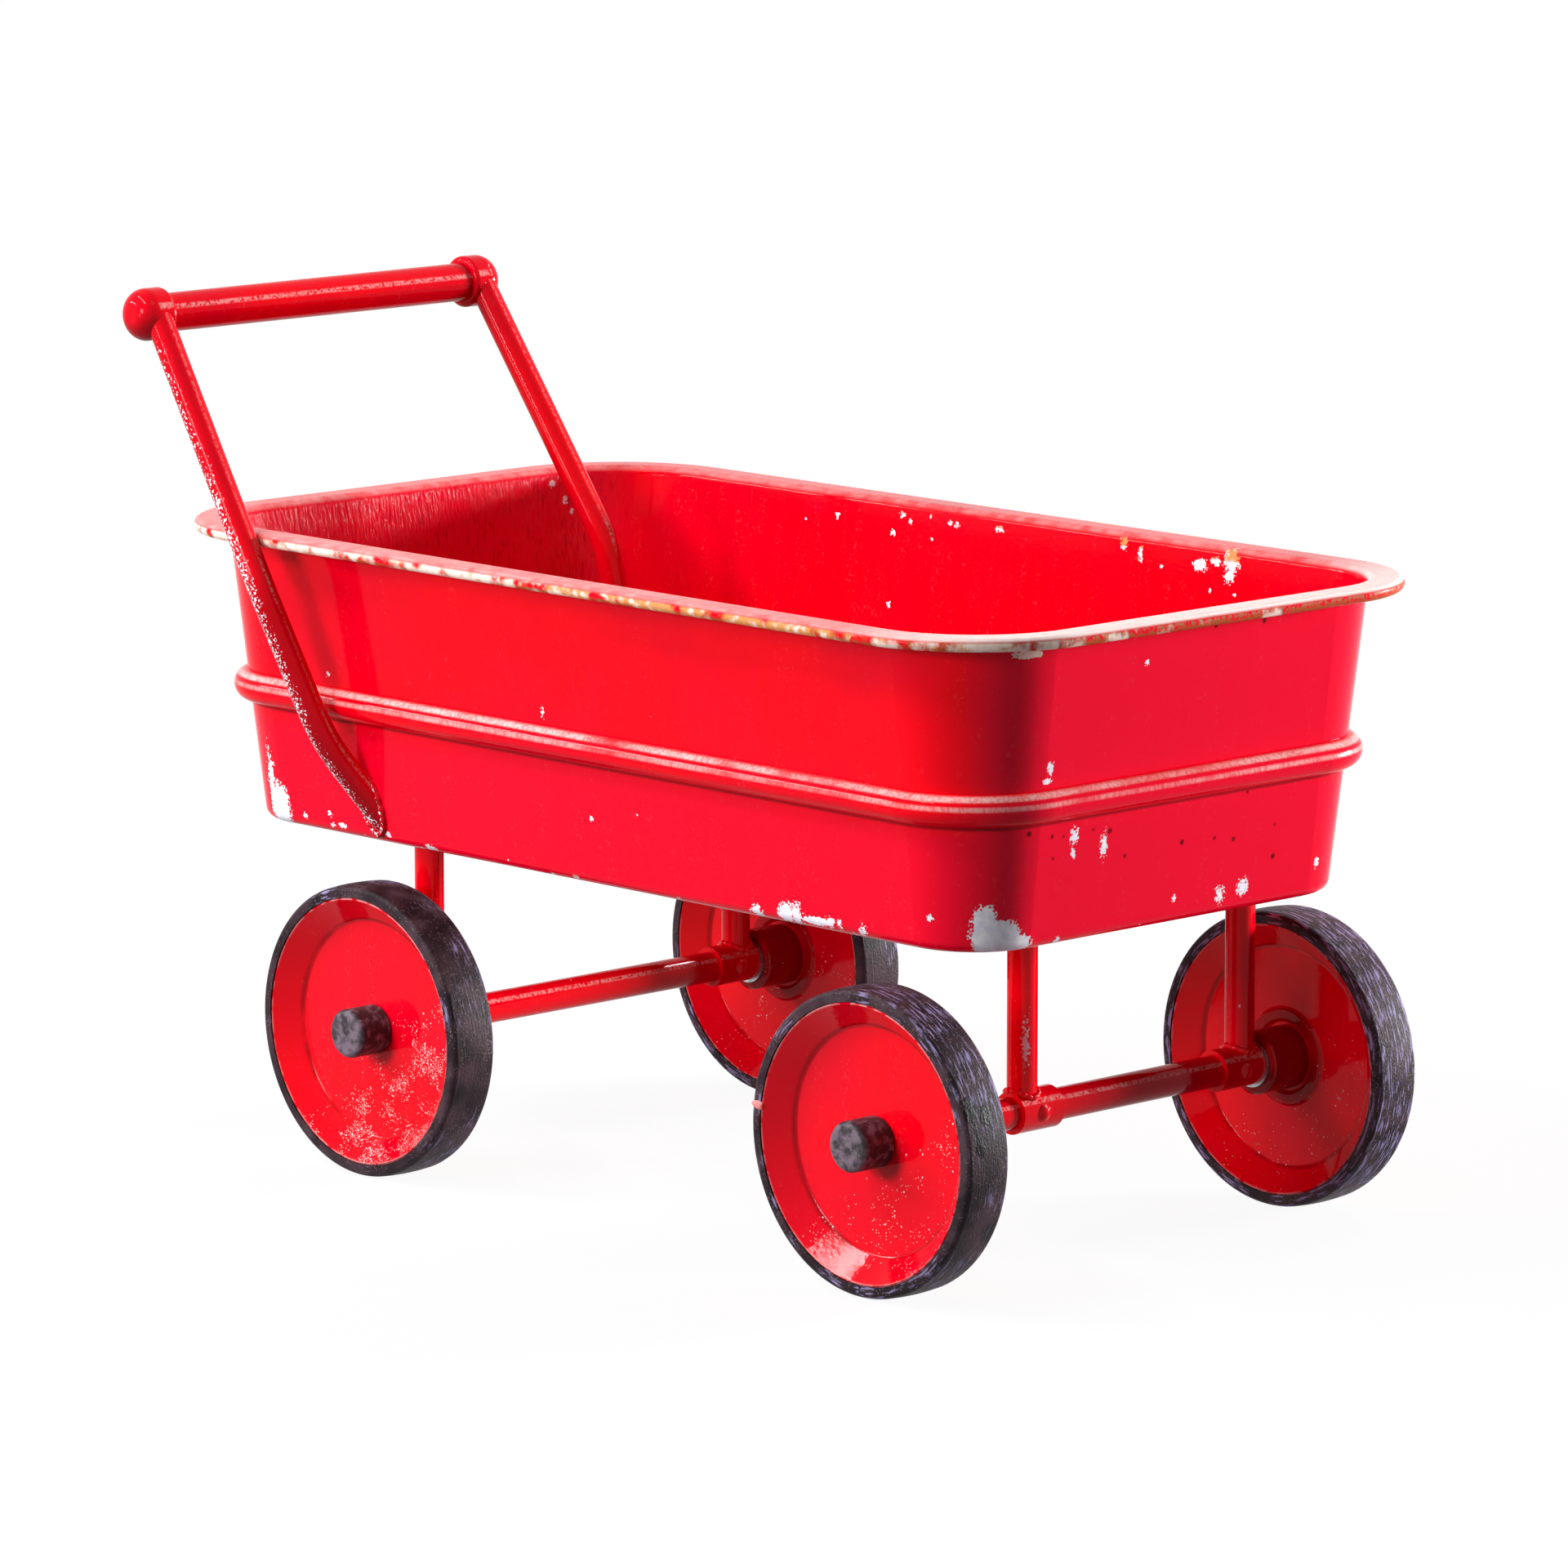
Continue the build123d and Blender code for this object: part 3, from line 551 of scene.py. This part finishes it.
    # Pits on the front wall, and painted-over grain on the rear wall's inside
    front = graph.both(graph.step(outward_x, none=0.6, full=0.9), graph.step(x, none=0.20, full=0.25))
    pits = graph.both(front, graph.specks(scale=70, size=0.13, share=0.38))
    rear_inside = graph.both(
        graph.step(outward_x, none=0.5, full=0.9),
        graph.step(x, none=-0.20, full=-0.25),
    )
    ridges = graph.patches(scale=560, stretch=(1, 1, 0.20), detail=6, none=0.35, full=0.65)
    furrows = graph.patches(scale=620, stretch=(1, 1, 0.16), detail=5, none=0.44, full=0.36)
    grain = graph.both(rear_inside, ridges)
    grooves = graph.both(rear_inside, furrows)
    relief = graph.either(grain, graph.scaled(pits, gain=-0.6))
    rubbed = graph.both(grain, graph.patches(scale=14, detail=3, none=0.35, full=0.75))
    dust_and_sheen = graph.either(dust_and_sheen, graph.scaled(rubbed, gain=0.07))

    # Grime in the pits and the grain, painted shade in the crease under the bead, a darker rear inside, and
    # faded walls
    off_shade_line = graph.away(z, low.z + BEAD_RISE + BEAD_SHADE_RISE)
    crease_shade = graph.both(outside, graph.step(off_shade_line, none=BEAD_SHADE_HALF, full=BEAD_SHADE_CORE))
    grime_and_shade = graph.either(
        graph.scaled(pits, gain=0.85),
        graph.scaled(grooves, gain=0.35),
        graph.scaled(crease_shade, gain=0.55),
        graph.scaled(rear_inside, gain=0.12),
    )
    low_wall = over_floor(none=BEAD_RISE, full=BEAD_RISE - LOW_WALL_FADE)
    faded = graph.either(front, rear_inside, graph.scaled(low_wall, gain=0.7))
    return paint(graph, bare, rust, dust_and_sheen, grime_and_shade, relief, faded, painted_sheen, metal, TUB_SPECULAR)


def painted_highlight_line(graph, rise):
    """A dotted painted highlight line along the front of a tube that lies across the wagon, where its skin
    looks up.
    """
    outward_x, outward_y, outward_z = graph.axes(graph.normal)
    line = graph.both(
        graph.step(graph.away(outward_z, rise), none=0.16, full=0.06),
        graph.step(outward_x, none=0.1, full=0.4),
        graph.step(graph.math("ABSOLUTE", outward_y), none=0.20, full=0.05),
        graph.patches(scale=620, detail=4, none=0.35, full=0.60),
    )
    return graph.scaled(line, gain=0.8)


def handle_enamel():
    """The handle's paint, with painted shade below, a painted highlight line along the grip, and flecks
    worn off the right arm's rear and outer side.
    """
    graph = Graph("handle_enamel")
    outward_x, outward_y, outward_z = graph.axes(graph.normal)
    _, y, z = graph.axes(graph.place)
    facing = graph.math("ADD", outward_x, outward_y)
    right_arm = graph.both(graph.step(y, none=-0.10, full=-0.14), graph.step(z, none=0.425, full=0.410))
    worn_side = graph.both(graph.step(facing, none=-0.1, full=-1.1), right_arm)
    low_end = graph.scaled(graph.step(z, none=0.43, full=0.30), gain=0.06, base=-0.03)
    amount = graph.scaled(worn_side, gain=0.11, base=low_end)
    flecks = graph.math("ADD", graph.noise(scale=760, detail=4), amount)
    worn = graph.both(graph.step(flecks, none=0.66, full=0.70), graph.step(worn_side, none=0.0, full=0.2))
    bare = graph.either(worn, graph.specks(scale=160, size=0.09, share=0.03))
    # Painted shade on the downward-facing skin, over a darker tone all round
    underside_shade = graph.step(outward_z, none=0.35, full=-0.45)
    grime_and_shade = graph.scaled(underside_shade, gain=0.40, base=0.20)
    dust_and_sheen = painted_highlight_line(graph, GRIP_HIGHLIGHT_RISE)
    return paint(graph, bare, dust_and_sheen=dust_and_sheen, grime_and_shade=grime_and_shade, specular=HANDLE_SPECULAR)


def wheel_enamel(corner, dusting):
    """A wheel's paint: a dusty fan below the hub, bare spots, a rubbed edge, and grime with painted shade
    round the inner hub and in a ring where the dish meets the web.
    """
    graph = Graph(f"wheel_enamel_{corner}")
    middle = node_middle(f"tyre_{corner}")
    offset = graph.vector("SUBTRACT", graph.place, middle)
    radius = graph.vector("LENGTH", graph.vector("MULTIPLY", offset, ACROSS_AXLE))
    forward, aside, up = graph.axes(offset)

    # Dust that has fallen in a fan, clear of the axle cap
    fan = graph.math("SUBTRACT", graph.scaled(forward, gain=0.8), up)
    fan = graph.scaled(graph.noise(scale=30, detail=5), gain=0.05, base=fan)
    clouds = graph.patches(scale=70, detail=8, none=0.42, full=0.68)
    fallen = graph.scaled(graph.both(graph.step(fan, none=0.030, full=0.062), clouds), gain=dusting)
    off_cap = graph.step(radius, none=0.010, full=0.016)
    spatter = graph.both(graph.specks(scale=1200, size=0.55, share=fallen), off_cap)
    fewer = graph.scaled(fallen, gain=0.45)
    flecks = graph.both(graph.specks(scale=640, size=0.40, share=fewer), off_cap)

    # Bare spots, and the rubbed edge by the tyre
    rub_start, rub_full = DISC_EDGE_RUB
    edge = graph.both(
        graph.step(radius, none=DISC_EDGE_RADIUS - rub_start, full=DISC_EDGE_RADIUS - rub_full),
        graph.patches(scale=160, detail=5, none=0.40, full=0.55),
    )
    chips = graph.specks(scale=150, size=0.10, share=0.03)
    chips = graph.both(chips, graph.step(radius, none=0.075, full=0.030))
    bare = graph.either(chips, graph.scaled(flecks, gain=0.8))
    dust_and_sheen = graph.either(spatter, graph.scaled(edge, gain=0.8))

    # Grime with painted shade round the inner hub, and a painted shade ring with grime where the dish meets
    # the web
    inward = graph.scaled(aside, gain=-1.0 if middle.y > 0 else 1.0)
    hub_grime_and_shade = graph.both(
        graph.step(inward, none=0.0, full=0.003),
        graph.step(radius, none=0.050, full=0.020),
    )
    ring = graph.both(
        graph.step(graph.away(radius, DISC_WEB_RADIUS), none=0.0018, full=0.0004),
        graph.patches(scale=40, detail=5, none=0.30, full=0.55),
    )
    grime_and_shade = graph.either(graph.scaled(hub_grime_and_shade, gain=0.62), graph.scaled(ring, gain=0.45))
    return paint(graph, bare, dust_and_sheen=dust_and_sheen, grime_and_shade=grime_and_shade)


def frame_enamel():
    """The legs' and axles' paint, with a few worn specks, a rubbed streak on the front right leg and a
    painted highlight line along the axles.
    """
    graph = Graph("frame_enamel")
    spot = photo_spot("leg_front_right", *LEG_STREAK_PIXEL)
    across = graph.vector("MULTIPLY_ADD", graph.place, LEG_STREAK_STRETCH, -spot * LEG_STREAK_STRETCH)
    ragged = graph.scaled(graph.noise(scale=700, detail=4), gain=4.0, base=-1.9)
    edge = graph.math("ADD", graph.vector("LENGTH", across), ragged)
    streak = graph.step(edge, none=1.05, full=0.95)
    rubbed = graph.patches(scale=230, stretch=(1, 0.4, 0.4), detail=6, none=0.74, full=0.79)
    bare = graph.either(rubbed, streak, graph.specks(scale=170, size=0.08, share=0.03))
    return paint(graph, bare, dust_and_sheen=painted_highlight_line(graph, AXLE_HIGHLIGHT_RISE))


def tyre_rubber(corner, scuffed, drips):
    """Solid rubber with scuffs that run round the tread, dust, and black drips where there are any."""
    graph = Graph(f"tyre_rubber_{corner}")
    arm = graph.vector("SUBTRACT", graph.place, node_middle(f"tyre_{corner}"))
    x, y, z = graph.axes(arm)
    turn = graph.math("ARCTAN2", x, z)
    radius = graph.vector("LENGTH", graph.vector("MULTIPLY", arm, ACROSS_AXLE))
    round_tread = graph.joined(X=graph.scaled(turn, gain=TREAD_STRETCH), Y=y, Z=radius)
    streaks = graph.noise(scale=760, detail=7, place=round_tread)
    patches = graph.noise(scale=26, detail=5)
    rubbing = graph.math("ADD", patches, graph.scaled(streaks, gain=0.5))
    worn = graph.step(rubbing, none=SCUFF_START - scuffed, full=SCUFF_FULL - scuffed)
    scuff = graph.both(worn, graph.step(streaks, none=0.52, full=0.60))
    dotted = graph.both(
        graph.specks(scale=900, size=0.50, share=0.26),
        graph.step(patches, none=0.36, full=0.58),
    )
    colour = graph.mix(graph.patches(scale=60, detail=5, none=0.35, full=0.70), RUBBER, RUBBER_WORN)
    colour = graph.mix(scuff, colour, RUBBER_SCUFF)
    colour = graph.mix(graph.scaled(dotted, gain=0.6), colour, RUBBER_DUST)
    height = graph.math("ADD", streaks, graph.noise(scale=900, detail=2))
    roughness = graph.scaled(patches, gain=0.3, base=0.38)
    if drips:
        ragged = graph.scaled(graph.noise(scale=300, detail=2), gain=0.8, base=-0.4)
        dripped = photo_spots(graph, f"tyre_{corner}", drips, ragged)
        colour = graph.mix(dripped, colour, TAR)
        height = graph.scaled(dripped, gain=2.0, base=height)
        roughness = graph.scaled(dripped, gain=-0.15, base=roughness)
    graph.bump(height, depth=0.00025)
    return graph.finish(colour, roughness, specular=0.10)


def cap_plastic():
    """Matt black caps with a worn, speckled skin that is palest on the end faces."""
    graph = Graph("cap_plastic")
    _, outward_y, _ = graph.axes(graph.normal)
    end_face = graph.step(graph.math("ABSOLUTE", outward_y), none=0.60, full=0.95)
    wear = graph.scaled(end_face, gain=0.10, base=graph.noise(scale=240, detail=6))
    rubbed = graph.step(wear, none=0.45, full=0.70)
    colour = graph.mix(rubbed, CAP_BLACK, CAP_WORN)
    graph.bump(graph.noise(scale=800, detail=3), depth=0.0002)
    return graph.finish(colour, graph.scaled(rubbed, gain=0.2, base=0.42), specular=0.25)


def bare_steel():
    """Plain drawn steel of the rods, washers, push nuts and rim wire."""
    graph = Graph("bare_steel")
    lines = graph.noise(scale=300, stretch=(1, 0.1, 1), detail=5)
    colour = graph.mix(graph.step(lines, none=0.3, full=0.7), STEEL, darker(STEEL, share=0.6))
    graph.shader.inputs["Metallic"].default_value = 1.0
    return graph.finish(colour, graph.scaled(lines, gain=0.25, base=0.2))


def nylon():
    """Natural nylon of the wheel bushes."""
    graph = Graph("nylon")
    colour = graph.mix(graph.noise(scale=180), NYLON, darker(NYLON, share=0.8))
    return graph.finish(colour, roughness=0.45, specular=0.4)


def dress(names, material):
    """Give CAD nodes a material."""
    for name in names:
        for slot in nodes[name].material_slots:
            slot.link = "OBJECT"
            slot.material = material


def smooth_piece(name, points, faces, material):
    """A smooth-shaded mesh object with one material."""
    mesh = bpy.data.meshes.new(name)
    mesh.from_pydata(points, [], faces)
    mesh.polygons.foreach_set("use_smooth", [True] * len(faces))
    mesh.materials.append(material)
    piece = bpy.data.objects.new(name, mesh)
    scene.collection.objects.link(piece)
    return piece


def seam(host, middle, way, radius):
    """The closed line where a tube's skin meets a CAD node, found by looking along the tube."""
    way = way.normalized()
    side = way.orthogonal().normalized()
    other = way.cross(side)
    line = []
    for step in range(SEAM_POINTS):
        turn = 2 * pi * step / SEAM_POINTS
        start = middle + radius * (cos(turn) * side + sin(turn) * other)
        hit, spot, outward, _ = nodes[host].ray_cast(start, way)
        if not hit:
            raise ValueError(f"the tube's skin misses {host}")
        line.append((spot + WELD_PROUD * outward, (start - middle).normalized()))
    return line


def weld_beads(name, seams, material):
    """Rippled beads of weld metal along closed seams, as one piece of the wagon."""
    points = []
    faces = []
    for line in seams:
        first = len(points)
        for index, (spot, outward) in enumerate(line):
            along = (line[(index + 1) % SEAM_POINTS][0] - line[index - 1][0]).normalized()
            across = along.cross(outward).normalized()
            ripple = WELD_RIPPLE * sin(index * WELD_RIPPLE_TURN)
            wander = WELD_WANDER * sin(index * WELD_WANDER_TURN)
            thick = WELD_RADIUS * (WELD_EVEN + ripple + wander)
            for side in range(WELD_SIDES):
                turn = 2 * pi * side / WELD_SIDES
                points.append(spot + thick * (cos(turn) * outward + sin(turn) * across))
        for index in range(SEAM_POINTS):
            here = first + index * WELD_SIDES
            there = first + (index + 1) % SEAM_POINTS * WELD_SIDES
            for side in range(WELD_SIDES):
                after = (side + 1) % WELD_SIDES
                faces.append((here + side, here + after, there + after, there + side))
    piece = smooth_piece(name, points, faces, material)
    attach(piece, "wagon")


def paint_run(material):
    """A run of red paint on the side of the front right tyre: a domed, tapered drop."""
    low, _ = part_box("tyre_front_right")
    place = node_middle("tyre_front_right") + RUN_PLACE
    outwards = RUN_PLACE.normalized()
    sideways = outwards.cross(ALONG_AXLE)

    def run_point(share, turn):
        """A point of the run: its share of the way out from the middle, and its turn."""
        taper = 1 - RUN_TAPER * cos(turn) * share
        along = share * RUN_HALF_LENGTH * cos(turn)
        across = share * RUN_HALF_WIDTH * sin(turn) * taper
        spot = place + along * outwards + across * sideways
        spot.y = low.y - RUN_HEIGHT * (1 - share**2) ** 0.5 + RUN_SUNK
        return spot

    points = [run_point(0, 0)]
    faces = []
    for ring in range(RUN_RINGS):
        first = len(points)
        share = (ring + 1) / RUN_RINGS
        points += [run_point(share, 2 * pi * spoke / RUN_SPOKES) for spoke in range(RUN_SPOKES)]
        for spoke in range(RUN_SPOKES):
            after = (spoke + 1) % RUN_SPOKES
            inner = (first - RUN_SPOKES + spoke, first - RUN_SPOKES + after) if ring else (0,)
            faces.append((*inner, first + after, first + spoke))
    piece = smooth_piece("paint_run", points, faces, material)
    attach(piece, "wheel_front_right")


def softbox(name, place, width, height, watts):
    """A rectangular soft light aimed at the middle of the wagon."""
    light = bpy.data.lights.new(name, "AREA")
    light.shape = "RECTANGLE"
    light.size = width
    light.size_y = height
    light.energy = watts
    lamp = bpy.data.objects.new(name, light)
    lamp.location = place
    lamp.rotation_euler = (Vector(place) - LAMP_AIM).to_track_quat("Z", "Y").to_euler()
    lamp.visible_camera = False
    scene.collection.objects.link(lamp)


def seen_rays(tree):
    """1 for the camera's rays and for those of reflections, 0 for scattered light."""
    path = tree.nodes.new("ShaderNodeLightPath")
    seen = path.outputs["Is Camera Ray"]
    for kind in ("Is Glossy Ray", "Is Transmission Ray"):
        either = tree.nodes.new("ShaderNodeMath")
        either.operation = "MAXIMUM"
        tree.links.new(seen, either.inputs[0])
        tree.links.new(path.outputs[kind], either.inputs[1])
        seen = either.outputs[0]
    return seen


def white_from_camera(tree, plain, white_kind, share):
    """A shader that cameras and reflections see partly as plain white, by a share that may be a socket."""
    part = tree.nodes.new("ShaderNodeMath")
    part.operation = "MULTIPLY"
    tree.links.new(seen_rays(tree), part.inputs[0])
    if isinstance(share, bpy.types.NodeSocket):
        tree.links.new(share, part.inputs[1])
    else:
        part.inputs[1].default_value = share
    white = tree.nodes.new(white_kind)
    white.inputs["Color"].default_value = WHITE
    white.inputs["Strength"].default_value = 1.0
    blend = tree.nodes.new("ShaderNodeMixShader")
    tree.links.new(part.outputs[0], blend.inputs["Fac"])
    tree.links.new(plain.outputs[0], blend.inputs[1])
    tree.links.new(white.outputs[0], blend.inputs[2])
    return blend.outputs[0]


# Camera
back = Vector((
    sin(CAMERA_AZIMUTH) * cos(CAMERA_ELEVATION),
    -cos(CAMERA_AZIMUTH) * cos(CAMERA_ELEVATION),
    sin(CAMERA_ELEVATION),
))
lens = bpy.data.cameras.new("camera")
lens.sensor_width = SENSOR_WIDTH
lens.lens = SENSOR_WIDTH * FOCAL_PIXELS / PHOTO_SIDE
camera = bpy.data.objects.new("camera", lens)
camera.location = CAMERA_PLACE
camera.rotation_euler = back.to_track_quat("Z", "Y").to_euler()
scene.collection.objects.link(camera)
scene.camera = camera
bpy.context.view_layer.update()

# Materials of the CAD nodes
dress(["tub"], tub_enamel())
handle_paint = handle_enamel()
frame_paint = frame_enamel()
frame_starts = ("leg_", "axle_collar_", "collar_pins")
dress([name for name in nodes if name.startswith("handle_")], handle_paint)
dress([name for name in nodes if name.startswith(frame_starts)], frame_paint)
dress(["front_axle_tube", "rear_axle_tube"], frame_paint)
dress([f"axle_cap_{corner}" for corner in CORNERS], cap_plastic())
dress(["rim_wire", "front_axle_rod", "rear_axle_rod", "axle_washers", "push_nuts"], bare_steel())
dress([f"wheel_bush_{corner}" for corner in CORNERS], nylon())
wheel_paints = {corner: wheel_enamel(corner, DUSTING[corner]) for corner in CORNERS}
for corner in CORNERS:
    dress([f"wheel_{part}_{corner}" for part in ("disc_outer", "disc_inner", "hub")], wheel_paints[corner])
    dress([f"tyre_{corner}"], tyre_rubber(corner, SCUFFED[corner], DRIPS.get(corner)))

# Weld beads at both ends of the legs and at the feet of the handle arms
leg_seams = []
for corner in CORNERS:
    leg_middle = node_middle(f"leg_{corner}")
    leg_seams.append(seam(f"leg_plate_{corner}", leg_middle, UP, LEG_RADIUS))
    leg_seams.append(seam(f"axle_collar_{corner}", leg_middle, -UP, LEG_RADIUS))
weld_beads("leg_welds", leg_seams, frame_paint)
right_start = RIGHT_FOOT - RIGHT_FOOT_BACK * RIGHT_FOOT_WAY.normalized()
left_start = LEFT_FOOT - LEFT_FOOT_BACK * LEFT_FOOT_WAY.normalized()
arm_seams = [
    seam("tub", right_start, RIGHT_FOOT_WAY, ARM_RADIUS),
    seam("handle_foot_plate", left_start, LEFT_FOOT_WAY, ARM_RADIUS),
]
weld_beads("arm_welds", arm_seams, handle_paint)
paint_run(wheel_paints["front_right"])

# Pale studio: dim surroundings that cameras see as white, and soft lights named by their picture side
world = bpy.data.worlds.new("studio")
world.use_nodes = True
scene.world = world
world_tree = world.node_tree
surroundings = world_tree.nodes["Background"]
surroundings.inputs["Color"].default_value = SURROUNDINGS
surroundings.inputs["Strength"].default_value = SURROUNDINGS_STRENGTH
world_look = white_from_camera(world_tree, surroundings, "ShaderNodeBackground", share=1.0)
world_tree.links.new(world_look, world_tree.nodes["World Output"].inputs["Surface"])
softbox("top_light", place=(-0.5, -0.99, 1.57), width=1.27, height=0.10, watts=21)
softbox("rear_light", place=(-1.6, -1.40, 1.05), width=0.95, height=0.16, watts=24)
softbox("left_light", place=(-0.35, -2.38, 0.85), width=0.7, height=0.5, watts=33)
softbox("low_light", place=(-0.9, -2.30, 0.30), width=0.5, height=0.3, watts=5)
softbox("right_light", place=(1.25, 2.6, 0.50), width=0.9, height=0.5, watts=180)
softbox("crown_light", place=(0.1, 1.55, 1.75), width=0.5, height=0.1, watts=12)

# Floor of paper, which fades to white away from the wagon
sheet = bpy.data.meshes.new("floor")
ends = (-FLOOR_HALF, FLOOR_HALF)
sheet.from_pydata([(x, y, 0) for y in ends for x in ends], [], [(0, 1, 3, 2)])
floor = bpy.data.objects.new("floor", sheet)
scene.collection.objects.link(floor)
floor_graph = Graph("floor_paper")
floor_tree = floor_graph.tree
paper = floor_graph.mix(seen_rays(floor_tree), PAPER_GIVES_BACK, PAPER)
sheet.materials.append(floor_graph.finish(paper, PAPER_ROUGHNESS))
far_off = floor_graph.step(floor_graph.vector("LENGTH", floor_graph.place), none=0.40, full=1.1)
white_share = floor_graph.scaled(far_off, gain=0.07, base=0.93)
floor_look = white_from_camera(floor_tree, floor_graph.shader, "ShaderNodeEmission", white_share)
floor_tree.links.new(floor_look, floor_tree.nodes["Material Output"].inputs["Surface"])

scene.view_settings.view_transform = "Standard"
